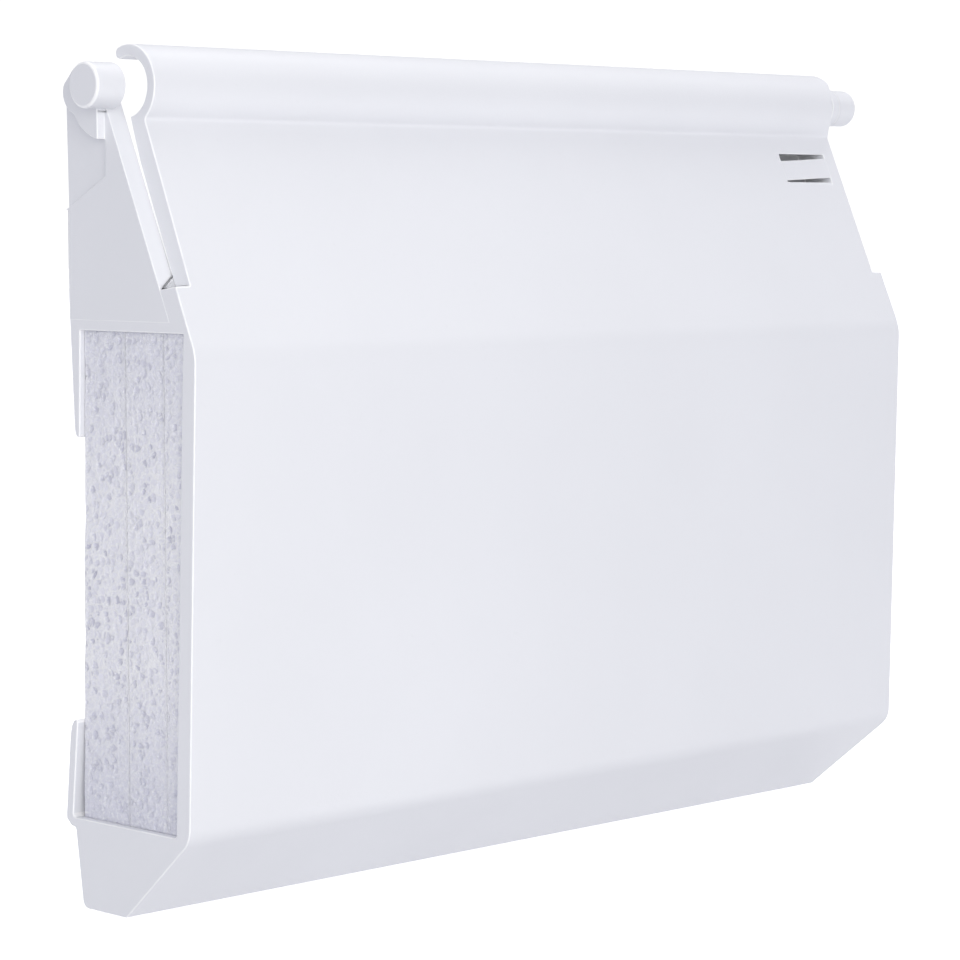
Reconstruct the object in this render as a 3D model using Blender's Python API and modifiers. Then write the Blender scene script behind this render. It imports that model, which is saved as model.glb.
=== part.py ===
"""Weir flap of a swimming-pool skimmer: a white moulded flap with a foam float.

The flap hangs on two short pins and swings in the mouth of the skimmer. Its left pin sits on a
spring arm that is squeezed inwards to fit or free the flap. The right pin is on a separate carrier
that hooks into the flap's end. A small latch tongue stands in a window of the front panel beside it.

Frame: the origin is on the hinge axis, midway between the ends. +X is to the right of someone
facing the front, +Y is to the rear and +Z is up. Lengths are in millimetres until they reach Blender.
"""
import math

import bmesh
import bpy
from mathutils import Matrix, Vector

MM = 0.001
GAP = 0.3                    # kept between two pieces that touch

# Overall sizes
HALF_WIDTH = 100.0           # flap body, to each end face
HALF_WIDTH_FOOT = 100.4      # the ends flare this far at the lower bend
HALF_WIDTH_BASE = 98.6       # and draw in to this at the bottom edge
ROLL_HALF_LENGTH = 96.4      # rolled top edge and upper panel stop short of the ends
WALL = 3.6                   # main face, measured along Y
WEDGE_WALL = 3.0
SHELF = 2.2                  # shelves above and below the float, and the end caps
BASE_WALL = 2.4

# Side profile of the front, as (y, z)
ROLL_RADIUS = 7.6
ROLL_BORE = 5.4
ROLL_TIP_ANGLE = 66.0        # the roll starts here, behind its top
ROLL_CREASE_ANGLE = 230.4    # and runs over the front to here, where the panel begins
BORE_FOOT_ANGLE = 262.0      # the bore ends here, on the back of the panel
CREASE = (-4.84, -5.85)
UPPER_BEND = (-22.95, -47.4)
LOWER_BEND = (-20.8, -133.8)
BASE_FRONT = (-0.5, -150.7)
BASE_REAR = (12.1, -150.7)
UPPER_BEND_RADIUS = 9.0
LOWER_BEND_RADIUS = 5.0
BASE_FRONT_RADIUS = 1.2
BASE_REAR_RADIUS = 1.5
PANEL_BACK = ((-0.8, -5.7), (-2.0, -9.2), (-3.65, -13.7), (-16.3, -41.9))   # back of the upper panel

# Float pocket
POCKET_TOP = -43.8
POCKET_FLOOR = -133.5
LEDGE = (13.3, -135.3)       # rear lower corner of the ledge that carries the lower lip
UPPER_LIP = ((10.0, -62.4), (10.2, -63.4), (10.8, -63.2), (11.35, -61.8))
LOWER_LIP = ((14.6, -133.9), (13.4, -119.6), (12.9, -116.6), (12.2, -115.5), (11.4, -115.2),
             (11.0, -115.9), (12.6, -133.5))
FOAM_REAR_TOP = 9.3          # the float thickens a little towards the foot
FOAM_REAR_FOOT = 10.7
SEAM_REAR = -2.15            # middle of the seam between the rear and middle slabs
SEAM_FRONT = -12.95
FOAM_END_RECESS = 1.3

# End arms and pins
ARM_THICKNESS = 3.6
ARM_FRONT = ((-13.18, -35.5), (1.96, -2.0))   # from the arm's root to its head
ARM_ROOT = -35.5
ROOT_GAP = 0.4
ARM_TOP = 3.6
ARM_HEAD_RADIUS = 6.3
ARM_REAR_TOP = 13.5
ARM_REAR_ROOT = 12.5
PIN_RADIUS = 4.15
PIN_CHAMFER = 0.6
PIN_END_LEFT = 106.1
PIN_END_RIGHT = 108.4
BOSS_RADIUS = 9.3
BOSS_FRONT = 1.6
BOSS_HEIGHT = 1.7
BOSS_LOBE = ((7.4, 3.7), (8.6, 3.0), (9.6, 2.0), (10.8, 0.9), (11.4, -0.2), (11.45, -1.6), (10.7, -3.0),
             (9.6, -4.1))    # the boss reaches back to these points before its round lower edge
RECESS_DEPTH = 0.9           # the outer face is sunk around the boss
RECESS_FOOT = -15.9          # down to here along the boss's front, then on a slant to the rear
RECESS_REAR = (14.5, -22.7)

# Latch window and tongue at the right end
WINDOW_LEFT = 78.3
WINDOW_TOP = -9.9
WINDOW_FLOOR = -15.95
WINDOW_RIGHT = 93.35
TONGUE_TOP = -10.75
TONGUE_FOOT = -14.92
TONGUE_RECESS = 0.3
TONGUE_THICKNESS = 2.8
TONGUE_DROOP = 2.7           # degrees; the free end sits lower than the root
POCKET_DEPTH = 7.4           # closed pocket behind the window, from the panel's front to its floor
POCKET_SKIN = 1.2

# Hook of the right carrier, which drops inside the flap's end wall
HOOK_TOP = -30.2
HOOK_THICKNESS = 2.2
HOOK_HALF_DEPTH = 6.0

# Stiffening
RIB_THICKNESS = 2.0
GUSSET_TOP = -15.0
GUSSET_REAR = 3.0
GUSSET_BED = 2.5             # how deep the gussets start in the upper panel, along Y
GUSSET_PLACES = (-72.0, -36.0, 0.0, 36.0, 72.0)
WEDGE_RIB_PLACES = (-50.0, 0.0, 50.0)
BEYOND_REAR = 30.0           # cutting tools reach out to here
TURN_STEPS = 40

PLASTIC_COLOUR = (0.86, 0.87, 0.90, 1.0)
FOAM_COLOUR = (0.80, 0.81, 0.87, 1.0)


def slope(z):
    """y of the upper panel's front surface at height z."""
    rise = (z - CREASE[1]) / (UPPER_BEND[1] - CREASE[1])
    return CREASE[0] + rise * (UPPER_BEND[0] - CREASE[0])


def face(z):
    """y of the main face's front surface at height z."""
    drop = (z - UPPER_BEND[1]) / (LOWER_BEND[1] - UPPER_BEND[1])
    return UPPER_BEND[0] + drop * (LOWER_BEND[0] - UPPER_BEND[0])


def panel_back(z):
    """y of the upper panel's back at height z, in the panel's straight part."""
    (y0, z0), (y1, z1) = PANEL_BACK[2:]
    return y0 + (z - z0) / (z1 - z0) * (y1 - y0)


def arc(centre, radius, start, end, steps):
    """Points on an arc, angles in degrees from +Y towards +Z."""
    points = []
    for i in range(steps + 1):
        angle = math.radians(start + (end - start) * i / steps)
        points.append((centre[0] + radius * math.cos(angle), centre[1] + radius * math.sin(angle)))
    return points


def rounded(before, corner, after, radius, steps=5):
    """Points of a fillet of the given radius at a corner of an outline."""
    a = (Vector(before) - Vector(corner)).normalized()
    b = (Vector(after) - Vector(corner)).normalized()
    half = a.angle(b) / 2
    centre = Vector(corner) + (a + b).normalized() * radius / math.sin(half)
    reach = radius / math.tan(half)
    start = Vector(corner) + a * reach - centre
    turn = (Vector(corner) + b * reach - centre).angle_signed(start)
    return [tuple(centre + Matrix.Rotation(turn * i / steps, 2) @ start) for i in range(steps + 1)]


def clear_scene():
    for item in list(bpy.data.objects):
        bpy.data.objects.remove(item)


def new_collection(name):
    collection = bpy.data.collections.new(name)
    bpy.context.scene.collection.children.link(collection)
    return collection


def new_material(name, colour, roughness):
    material = bpy.data.materials.new(name)
    material.use_nodes = True
    shader = material.node_tree.nodes["Principled BSDF"]
    shader.inputs["Base Color"].default_value = colour
    shader.inputs["Roughness"].default_value = roughness
    shader.inputs["Metallic"].default_value = 0.0
    return material


def mesh_from(source, name, collection):
    """Turn a curve or a modified object into a plain welded mesh object."""
    bpy.context.view_layer.update()
    evaluated = source.evaluated_get(bpy.context.evaluated_depsgraph_get())
    mesh = bpy.data.meshes.new_from_object(evaluated)
    work = bmesh.new()
    work.from_mesh(mesh)
    work.transform(source.matrix_world)
    bmesh.ops.remove_doubles(work, verts=work.verts, dist=0.00001)
    bmesh.ops.recalc_face_normals(work, faces=work.faces)
    work.to_mesh(mesh)
    work.free()
    mesh.materials.clear()
    bpy.data.objects.remove(source)
    result = bpy.data.objects.new(name, mesh)
    collection.objects.link(result)
    return result


def prism(name, outline, x_low, x_high, collection):
    """A closed (y, z) outline, filled and drawn out along X."""
    curve = bpy.data.curves.new(name + "_outline", "CURVE")
    curve.dimensions = "2D"
    curve.fill_mode = "BOTH"
    curve.extrude = (x_high - x_low) / 2 * MM
    spline = curve.splines.new("POLY")
    spline.points.add(len(outline) - 1)
    for point, (y, z) in zip(spline.points, outline):
        point.co = (y * MM, z * MM, 0.0, 1.0)
    spline.use_cyclic_u = True
    source = bpy.data.objects.new(name + "_outline", curve)
    source.rotation_euler = (math.pi / 2, 0.0, math.pi / 2)
    source.location = ((x_low + x_high) / 2 * MM, 0.0, 0.0)
    collection.objects.link(source)
    return mesh_from(source, name, collection)


def turned(name, profile, collection):
    """A profile of (radius, x) points, turned about the hinge axis."""
    mesh = bpy.data.meshes.new(name + "_profile")
    corners = [(radius * MM, 0.0, x * MM) for radius, x in profile]
    mesh.from_pydata(corners, [(i, i + 1) for i in range(len(corners) - 1)], [])
    source = bpy.data.objects.new(name + "_profile", mesh)
    source.rotation_euler = (0.0, math.pi / 2, 0.0)
    collection.objects.link(source)
    screw = source.modifiers.new("turn", "SCREW")
    screw.steps = TURN_STEPS
    screw.render_steps = TURN_STEPS
    screw.use_merge_vertices = True
    screw.merge_threshold = 0.00001
    return mesh_from(source, name, collection)


def block(name, low, high, collection):
    """A box between two corners."""
    mesh = bpy.data.meshes.new(name)
    work = bmesh.new()
    bmesh.ops.create_cube(work, size=1.0)
    for vert in work.verts:
        vert.co = [(low[i] if vert.co[i] < 0 else high[i]) * MM for i in range(3)]
    work.to_mesh(mesh)
    work.free()
    result = bpy.data.objects.new(name, mesh)
    collection.objects.link(result)
    return result


def combine(target, tool, operation):
    """Join or cut with a guide object, which is kept out of the model itself."""
    tool.hide_render = True
    tool.display_type = "WIRE"
    modifier = target.modifiers.new(tool.name, "BOOLEAN")
    modifier.operation = operation
    modifier.solver = "EXACT"
    modifier.object = tool


def flare_ends(item):
    """Give the flap's ends their draft: widest at the lower bend, narrowest at the base."""
    for vert in item.data.vertices:
        z = vert.co.z / MM
        if z >= UPPER_BEND[1]:
            continue
        if z >= LOWER_BEND[1]:
            share = (z - UPPER_BEND[1]) / (LOWER_BEND[1] - UPPER_BEND[1])
            width = HALF_WIDTH + share * (HALF_WIDTH_FOOT - HALF_WIDTH)
        else:
            share = (z - LOWER_BEND[1]) / (BASE_FRONT[1] - LOWER_BEND[1])
            width = HALF_WIDTH_FOOT + share * (HALF_WIDTH_BASE - HALF_WIDTH_FOOT)
        vert.co.x *= width / HALF_WIDTH


def wedge_inner(z):
    """y of the inside of the chamfer wall at height z."""
    run = Vector(BASE_FRONT) - Vector(LOWER_BEND)
    offset = WEDGE_WALL * run.length / -run.y
    return LOWER_BEND[0] + offset + (z - LOWER_BEND[1]) * run.x / run.y


def shell_outline():
    """The flap's cross-section: roll, panels, solid wedge, shelves and the lips that hold the float."""
    plate_top = ARM_ROOT - ROOT_GAP
    outline = arc((0, 0), ROLL_RADIUS, ROLL_TIP_ANGLE, ROLL_CREASE_ANGLE, 22)
    outline += rounded(CREASE, UPPER_BEND, LOWER_BEND, UPPER_BEND_RADIUS)
    outline += rounded(UPPER_BEND, LOWER_BEND, BASE_FRONT, LOWER_BEND_RADIUS)
    outline += rounded(LOWER_BEND, BASE_FRONT, BASE_REAR, BASE_FRONT_RADIUS, 3)
    outline += rounded(BASE_FRONT, BASE_REAR, (BASE_REAR[0], LEDGE[1]), BASE_REAR_RADIUS, 3)
    outline += [(BASE_REAR[0], LEDGE[1]), LEDGE, *LOWER_LIP]
    outline += [(face(POCKET_FLOOR) + WALL, POCKET_FLOOR), (UPPER_BEND[0] + WALL, UPPER_BEND[1])]
    outline += [(slope(POCKET_TOP) + 1.65, POCKET_TOP), (10.0, POCKET_TOP)]
    outline += [*UPPER_LIP, (ARM_REAR_ROOT, plate_top)]
    outline += [(panel_back(plate_top), plate_top), *PANEL_BACK[2::-1]]
    outline += arc((0, 0), ROLL_BORE, BORE_FOOT_ANGLE, ROLL_TIP_ANGLE, 20)
    return outline


def arm_outline():
    """An end arm seen from the side, from its root up to the head that carries the pin."""
    head_centre = (ARM_REAR_TOP - ARM_HEAD_RADIUS, ARM_TOP - ARM_HEAD_RADIUS)
    outline = [*ARM_FRONT, (2.4, 0.0), (2.4, 2.4), (3.4, ARM_TOP)]
    outline += arc(head_centre, ARM_HEAD_RADIUS, 90.0, 0.0, 8)
    outline += [(ARM_REAR_ROOT, ARM_ROOT)]
    return outline


def boss_outline():
    """The raised boss behind and below a pin, cut off flat at its front."""
    foot = -math.degrees(math.acos(BOSS_FRONT / BOSS_RADIUS))
    return [(BOSS_FRONT, ARM_TOP + 0.1), *BOSS_LOBE, *arc((0, 0), BOSS_RADIUS, -33.0, foot, 8)]


def build_latch_pocket(shell, guides):
    """A window in the upper panel with a closed pocket behind it, in which the tongue can bend."""
    top, foot = WINDOW_TOP + POCKET_SKIN, WINDOW_FLOOR - POCKET_SKIN
    outside = [(slope(z) + GUSSET_BED, z) for z in (top, foot)]
    outside += [(slope(z) + POCKET_DEPTH + POCKET_SKIN, z) for z in (foot, top)]
    housing = prism("latch_housing", outside, WINDOW_LEFT - POCKET_SKIN, WINDOW_RIGHT + POCKET_SKIN, guides)
    combine(shell, housing, "UNION")
    inside = [(slope(z) - 3.0, z) for z in (WINDOW_TOP, WINDOW_FLOOR)]
    inside += [(slope(z) + POCKET_DEPTH, z) for z in (WINDOW_FLOOR, WINDOW_TOP)]
    combine(shell, prism("latch_window", inside, WINDOW_LEFT, WINDOW_RIGHT, guides), "DIFFERENCE")


def build_shell(parts, guides, material):
    shell = prism("flap_shell", shell_outline(), -HALF_WIDTH, HALF_WIDTH, parts)
    plate_top = ARM_ROOT - ROOT_GAP
    shelf_over = POCKET_TOP + SHELF
    for side in (-1, 1):
        ends = sorted((side * ROLL_HALF_LENGTH, side * (HALF_WIDTH + 20)))
        notch = block("end_notch", (ends[0], -40, plate_top), (ends[1], BEYOND_REAR, 20), guides)
        combine(shell, notch, "DIFFERENCE")
    opening = plate_top + 1.0
    hollow = [(panel_back(shelf_over) + 0.02, shelf_over), (BEYOND_REAR, shelf_over)]
    hollow += [(BEYOND_REAR, opening), (panel_back(opening) + 0.02, opening)]
    hollow_cut = prism("upper_hollow", hollow, -ROLL_HALF_LENGTH, ROLL_HALF_LENGTH, guides)
    combine(shell, hollow_cut, "DIFFERENCE")
    base_inner = BASE_FRONT[1] + BASE_WALL
    under = POCKET_FLOOR - SHELF
    bay = [(wedge_inner(base_inner), base_inner), (wedge_inner(under), under)]
    bay += [(BEYOND_REAR, under), (BEYOND_REAR, base_inner)]
    half = RIB_THICKNESS / 2
    walls = [-HALF_WIDTH + SHELF - half, *WEDGE_RIB_PLACES, HALF_WIDTH - SHELF + half]
    for start, end in zip(walls, walls[1:]):
        combine(shell, prism("wedge_bay", bay, start + half, end - half, guides), "DIFFERENCE")
    gusset_foot = POCKET_TOP + SHELF / 2
    gusset = [(slope(GUSSET_TOP) + GUSSET_BED, GUSSET_TOP), (GUSSET_REAR, gusset_foot)]
    gusset += [(slope(gusset_foot) + GUSSET_BED, gusset_foot)]
    for place in GUSSET_PLACES:
        combine(shell, prism("gusset", gusset, place - half, place + half, guides), "UNION")
    build_latch_pocket(shell, guides)
    shell = mesh_from(shell, "flap_shell", parts)
    flare_ends(shell)
    shell.data.materials.append(material)


def pin_profile(start, end):
    return [(0.0, end), (PIN_RADIUS - PIN_CHAMFER, end), (PIN_RADIUS, end - PIN_CHAMFER),
            (PIN_RADIUS, start), (0.0, start)]


def mirror_to_left(item):
    """Reflect a piece in the flap's middle plane and keep its faces pointing out."""
    item.data.transform(Matrix.Scale(-1.0, 4, Vector((1, 0, 0))))
    item.data.flip_normals()


def move_origin(item, place):
    """Put an object's origin at a point, leaving its shape where it is."""
    point = Vector(place) * MM
    item.data.transform(Matrix.Translation(-point))
    item.location = point


def end_arm(name, tag, inner, outer, pin_end, parts, guides):
    """The plate, recess, boss and pin that both ends share, modelled at the right."""
    arm = prism(name, arm_outline(), inner, outer, parts)
    above = ARM_TOP + 5.0
    recess = [(BOSS_FRONT, above), (BOSS_FRONT, RECESS_FOOT), RECESS_REAR, (RECESS_REAR[0], above)]
    tools = [(prism(tag + "_recess", recess, outer - RECESS_DEPTH, outer + 1, guides), "DIFFERENCE")]
    tools += [(prism(tag + "_boss", boss_outline(), outer - 1.2, outer + BOSS_HEIGHT, guides), "UNION")]
    tools += [(turned(tag + "_pin", pin_profile(outer - 0.4, pin_end), guides), "UNION")]
    return arm, tools


def build_left_arm(parts, guides, material):
    arm, tools = end_arm("left_spring_arm", "left", HALF_WIDTH - ARM_THICKNESS, HALF_WIDTH,
                         PIN_END_LEFT, parts, guides)
    mirror_to_left(arm)
    for tool, operation in tools:
        mirror_to_left(tool)
        combine(arm, tool, operation)
    arm.data.materials.append(material)
    return arm


def build_right_carrier(parts, guides, material):
    inner = HALF_WIDTH - ARM_THICKNESS + GAP
    carrier, tools = end_arm("right_pin_carrier", "right", inner, HALF_WIDTH, PIN_END_RIGHT,
                             parts, guides)
    for tool, operation in tools:
        combine(carrier, tool, operation)
    hook_outer = ROLL_HALF_LENGTH - GAP
    hook = block("hook", (hook_outer - HOOK_THICKNESS, -HOOK_HALF_DEPTH, POCKET_TOP + SHELF + GAP),
                 (hook_outer, HOOK_HALF_DEPTH, HOOK_TOP), guides)
    combine(carrier, hook, "UNION")
    bridge = block("hook_bridge", (hook_outer - 1.0, -HOOK_HALF_DEPTH + 0.5, HOOK_TOP - 3.0),
                   (inner + 1.0, HOOK_HALF_DEPTH - 0.5, HOOK_TOP - 0.5), guides)
    combine(carrier, bridge, "UNION")
    carrier.data.materials.append(material)
    return carrier


def build_tongue(parts, material):
    outline = [(slope(z) + TONGUE_RECESS, z) for z in (TONGUE_TOP, TONGUE_FOOT)]
    outline += [(slope(z) + TONGUE_RECESS + TONGUE_THICKNESS, z) for z in (TONGUE_FOOT, TONGUE_TOP)]
    tongue = prism("latch_tongue", outline, WINDOW_LEFT + GAP, WINDOW_RIGHT - GAP, parts)
    middle = (TONGUE_TOP + TONGUE_FOOT) / 2
    hinge = (WINDOW_RIGHT - GAP / 2, slope(middle) + TONGUE_RECESS + TONGUE_THICKNESS / 2, middle)
    move_origin(tongue, hinge)
    tongue.data.transform(Matrix.Rotation(math.radians(-TONGUE_DROOP), 4, "Y"))
    tongue.data.materials.append(material)
    return tongue


def build_float(parts, material):
    """Three foam slabs bonded into one float, which fills the pocket."""
    top = POCKET_TOP - GAP
    foot = POCKET_FLOOR + GAP
    half_length = HALF_WIDTH - FOAM_END_RECESS
    front = [(face(z) + WALL + GAP, z) for z in (top - 3.0, foot)]
    rear = [(FOAM_REAR_FOOT, foot), (FOAM_REAR_TOP, top)]
    slabs = {
        "foam_slab_rear": [(SEAM_REAR + GAP / 2, top), (SEAM_REAR + GAP / 2, foot)] + rear,
        "foam_slab_middle": [(SEAM_FRONT + GAP / 2, top), (SEAM_FRONT + GAP / 2, foot),
                             (SEAM_REAR - GAP / 2, foot), (SEAM_REAR - GAP / 2, top)],
        "foam_slab_front": [(front[0][0], top)] + front + [(SEAM_FRONT - GAP / 2, foot),
                                                          (SEAM_FRONT - GAP / 2, top)],
    }
    for name, outline in slabs.items():
        slab = prism(name, outline, -half_length, half_length, parts)
        slab.data.materials.append(material)


def main():
    clear_scene()
    parts = new_collection("skimmer_weir_flap")
    guides = new_collection("guides")
    shell_plastic = new_material("shell_plastic", PLASTIC_COLOUR, 0.38)
    arm_plastic = new_material("arm_plastic", PLASTIC_COLOUR, 0.34)
    carrier_plastic = new_material("carrier_plastic", PLASTIC_COLOUR, 0.34)
    foam = new_material("float_foam", FOAM_COLOUR, 0.85)
    build_shell(parts, guides, shell_plastic)
    arm = build_left_arm(parts, guides, arm_plastic)
    move_origin(arm, (-(HALF_WIDTH - ARM_THICKNESS / 2), 0.0, ARM_ROOT - ROOT_GAP / 2))
    build_right_carrier(parts, guides, carrier_plastic)
    build_tongue(parts, carrier_plastic)
    build_float(parts, foam)
    for item in parts.objects:
        item.data.set_sharp_from_angle(angle=math.radians(35))


main()
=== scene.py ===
"""Looks of the skimmer weir flap: softened plastic mouldings, cut foam slabs, materials and studio."""
import math

import bmesh
import bpy
import numpy as np
from mathutils import Matrix, Vector, noise


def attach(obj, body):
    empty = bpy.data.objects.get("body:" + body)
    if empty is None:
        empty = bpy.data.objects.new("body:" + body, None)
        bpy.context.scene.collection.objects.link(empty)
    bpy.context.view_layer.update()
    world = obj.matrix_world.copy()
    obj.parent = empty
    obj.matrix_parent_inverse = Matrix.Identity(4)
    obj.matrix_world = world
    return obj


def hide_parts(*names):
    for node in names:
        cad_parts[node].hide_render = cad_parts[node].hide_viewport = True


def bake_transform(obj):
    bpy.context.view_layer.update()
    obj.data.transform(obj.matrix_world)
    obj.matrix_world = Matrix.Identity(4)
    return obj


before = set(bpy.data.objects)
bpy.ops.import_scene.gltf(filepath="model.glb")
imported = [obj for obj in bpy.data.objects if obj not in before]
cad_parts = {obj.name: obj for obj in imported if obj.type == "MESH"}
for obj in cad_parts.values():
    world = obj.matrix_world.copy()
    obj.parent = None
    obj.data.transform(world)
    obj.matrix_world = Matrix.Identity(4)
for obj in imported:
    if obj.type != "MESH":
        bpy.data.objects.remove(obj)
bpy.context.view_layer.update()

MM = 0.001

# Sizes in millimetres, in the CAD model's frame
HALF_WIDTH = 100.0
HALF_WIDTH_FOOT = 100.4
HALF_WIDTH_BASE = 98.6
ROLL_HALF_LENGTH = 96.4
NOTCH = {-1: 96.6, 1: 97.0}  # where the upper panel ends, at its foot
END_LEFT = ((96.6, -35.4), (95.9, 8.0), (95.9, 20.0))      # (x, z) up each end
END_RIGHT = ((97.0, -35.4), (97.6, -6.6), (97.3, -6.0), (95.9, -4.4), (95.3, -2.5), (95.3, 1.5), (96.0, 4.0),
             (97.1, 6.2), (97.4, 7.2), (97.4, 20.0))
WALL_TOP = 3.5
WALL_FOOT = 3.75
WEDGE_WALL = 3.0
SHELF = 2.2
BASE_WALL = 2.4
ROLL_RADIUS = 7.6
ROLL_BORE = 5.4
ROLL_TIP_ANGLE = 68.0
CREASE = (-4.84, -5.85)
CREASE_FILLET = 0.8
UPPER_BEND = (-22.95, -47.4)
LOWER_BEND = (-20.8, -133.8)
BASE_FRONT = (-0.5, -150.7)
BASE_REAR = (12.1, -150.7)
PANEL_BACK = ((-0.8, -5.7), (-2.0, -9.2), (-3.65, -13.7), (-16.3, -41.9))
POCKET_TOP = -43.8
POCKET_FLOOR = -133.5
LEDGE = (13.3, -135.3)
PLATE_TOP = -36.1
PLATE_FRONT_TOP = -35.5      # the ledge rises to this at the panel's front
ARM_REAR_ROOT = 12.7
ARM_REAR_TOP = 13.85
ARM_TOP = 3.6
ARM_HEAD_RADIUS = 6.3
ARM_THICKNESS = 3.6
ARM_FRONT = ((-13.2, -35.5), (1.96, -2.0))
PIN_RADIUS = 4.15
PIN_END_LEFT = 106.1
BOSS_RADIUS = 9.6
BOSS_FRONT = 1.6
BOSS_HEIGHT = 1.7
RECESS_DEPTH = 0.9
WINDOW_LEFT = 78.3
WINDOW_TOP = -9.9
WINDOW_FLOOR = -15.95
WINDOW_RIGHT = 93.35
TONGUE_TOP = -10.75
TONGUE_FOOT = -14.92
TONGUE_RECESS = 0.4
TONGUE_THICKNESS = 2.8
TONGUE_DROOP = 2.7
POCKET_DEPTH = 7.4
POCKET_SKIN = 1.2
RIB_THICKNESS = 2.0
GUSSET_PLACES = (-72.0, -36.0, 0.0, 36.0, 72.0)
WEDGE_RIB_PLACES = (-50.0, 0.0, 50.0)
SEAM_REAR = -2.15
SEAM_FRONT = -12.95
FOAM_HALF_LENGTH = 98.9
FOAM_REAR_TOP = 9.43         # the float thickens towards its foot
FOAM_REAR_GROWTH = 1.62
FOAM_PLAY = 0.03             # between the float and the pocket round it
SEAM_PLAY = 0.01             # on each side of a seam between two slabs
# Right pin and collar as (radius, x), from the end inwards
RIGHT_PIN = ((0.0, 108.8), (2.9, 108.8), (3.15, 108.7), (3.8, 107.9), (3.92, 107.6), (3.92, 102.5),
             (3.98, 102.3), (4.2, 102.2), (4.32, 101.95), (4.32, 99.6), (0.0, 99.6))
CARRIER_LIFT = 0.6           # the carrier sits this much high in its seat
BEYOND = 30.0


def slope(z):
    """y of the upper panel's front."""
    return CREASE[0] + (z - CREASE[1]) / (UPPER_BEND[1] - CREASE[1]) * (UPPER_BEND[0] - CREASE[0])


def face(z):
    """y of the main face."""
    return UPPER_BEND[0] + (z - UPPER_BEND[1]) / (LOWER_BEND[1] - UPPER_BEND[1]) * (
        LOWER_BEND[0] - UPPER_BEND[0])


def panel_back(z):
    """y of the upper panel's back, below its second bend."""
    (y0, z0), (y1, z1) = PANEL_BACK[2:]
    return y0 + (z - z0) / (z1 - z0) * (y1 - y0)


def pocket_front(z):
    """y of the inside of the float pocket's front wall."""
    return face(z) + WALL_TOP + (z - POCKET_TOP) / (POCKET_FLOOR - POCKET_TOP) * (WALL_FOOT - WALL_TOP)


def foam_rear(z):
    """y of the back of the float."""
    return FOAM_REAR_TOP + (z - POCKET_TOP) / (POCKET_FLOOR - POCKET_TOP) * FOAM_REAR_GROWTH


def arc(centre, radius, start, end, steps):
    turns = [math.radians(start + (end - start) * i / steps) for i in range(steps + 1)]
    return [(centre[0] + radius * math.cos(t), centre[1] + radius * math.sin(t)) for t in turns]


def rounded(before, corner, after, radius, steps=8):
    """Points of a fillet at a corner of an outline."""
    a = (Vector(before) - Vector(corner)).normalized()
    b = (Vector(after) - Vector(corner)).normalized()
    half = a.angle(b) / 2
    centre = Vector(corner) + (a + b).normalized() * radius / math.sin(half)
    reach = radius / math.tan(half)
    start = Vector(corner) + a * reach - centre
    turn = (Vector(corner) + b * reach - centre).angle_signed(start)
    return [tuple(centre + Matrix.Rotation(turn * i / steps, 2) @ start) for i in range(steps + 1)]


def crease_fillet(steps=3):
    """Where the roll runs into the panel: a fillet that touches the roll's circle and the panel."""
    along = (Vector(UPPER_BEND) - Vector(CREASE)).normalized()
    out = Vector((along.y, -along.x))
    start = Vector(CREASE) + out * CREASE_FILLET
    reach = ROLL_RADIUS + CREASE_FILLET
    half = start.dot(along)
    centre = start + along * (-half + math.sqrt(half * half - start.length_squared + reach * reach))
    first = -centre.normalized() * CREASE_FILLET
    turn = (-out * CREASE_FILLET).angle_signed(first)
    on_roll = math.degrees(math.atan2(centre.y, centre.x)) % 360
    return on_roll, [tuple(centre + Matrix.Rotation(turn * i / steps, 2) @ first)
                     for i in range(steps + 1)]


def mesh_object(name, verts, faces):
    mesh = bpy.data.meshes.new(name)
    mesh.from_pydata([Vector(v) * MM for v in verts], [], faces)
    mesh.update()
    item = bpy.data.objects.new(name, mesh)
    bpy.context.scene.collection.objects.link(item)
    return item


def recalc(item):
    work = bmesh.new()
    work.from_mesh(item.data)
    bmesh.ops.recalc_face_normals(work, faces=work.faces)
    work.to_mesh(item.data)
    work.free()
    return item


def extruded(name, outline, low, high, corner):
    """A closed outline drawn out between two levels; corner(u, v, level) places each of its points."""
    n = len(outline)
    verts = [corner(u, v, level) for level in (low, high) for u, v in outline]
    faces = [tuple(range(n)), tuple(range(2 * n - 1, n - 1, -1))]
    faces += [(i, (i + 1) % n, n + (i + 1) % n, n + i) for i in range(n)]
    return recalc(mesh_object(name, verts, faces))


def prism(name, outline, x_low, x_high):
    """A closed (y, z) outline drawn out along X."""
    return extruded(name, outline, x_low, x_high, lambda y, z, x: (x, y, z))


def upright(name, outline, y_low, y_high):
    """A closed (x, z) outline drawn out along Y."""
    return extruded(name, outline, y_low, y_high, lambda x, z, y: (x, y, z))


def column(name, outline, z_low, z_high):
    """A closed (x, y) outline drawn out along Z."""
    return extruded(name, outline, z_low, z_high, lambda x, y, z: (x, y, z))


def block(name, low, high):
    return prism(name, [(low[1], low[2]), (high[1], low[2]), (high[1], high[2]), (low[1], high[2])],
                 low[0], high[0])


def turned(name, profile, steps=64):
    """(radius, x) points turned about the hinge axis; the first and last lie on it."""
    verts = [(profile[0][1], 0.0, 0.0)]
    for radius, x in profile[1:-1]:
        verts += [(x, radius * math.cos(t), radius * math.sin(t))
                  for t in (2 * math.pi * i / steps for i in range(steps))]
    verts.append((profile[-1][1], 0.0, 0.0))
    rings = len(profile) - 2
    faces = [(0, 1 + i, 1 + (i + 1) % steps) for i in range(steps)]
    for r in range(rings - 1):
        a, b = 1 + r * steps, 1 + (r + 1) * steps
        faces += [(a + i, b + i, b + (i + 1) % steps, a + (i + 1) % steps) for i in range(steps)]
    last = 1 + (rings - 1) * steps
    faces += [(last + i, len(verts) - 1, last + (i + 1) % steps) for i in range(steps)]
    return recalc(mesh_object(name, verts, faces))


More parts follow.
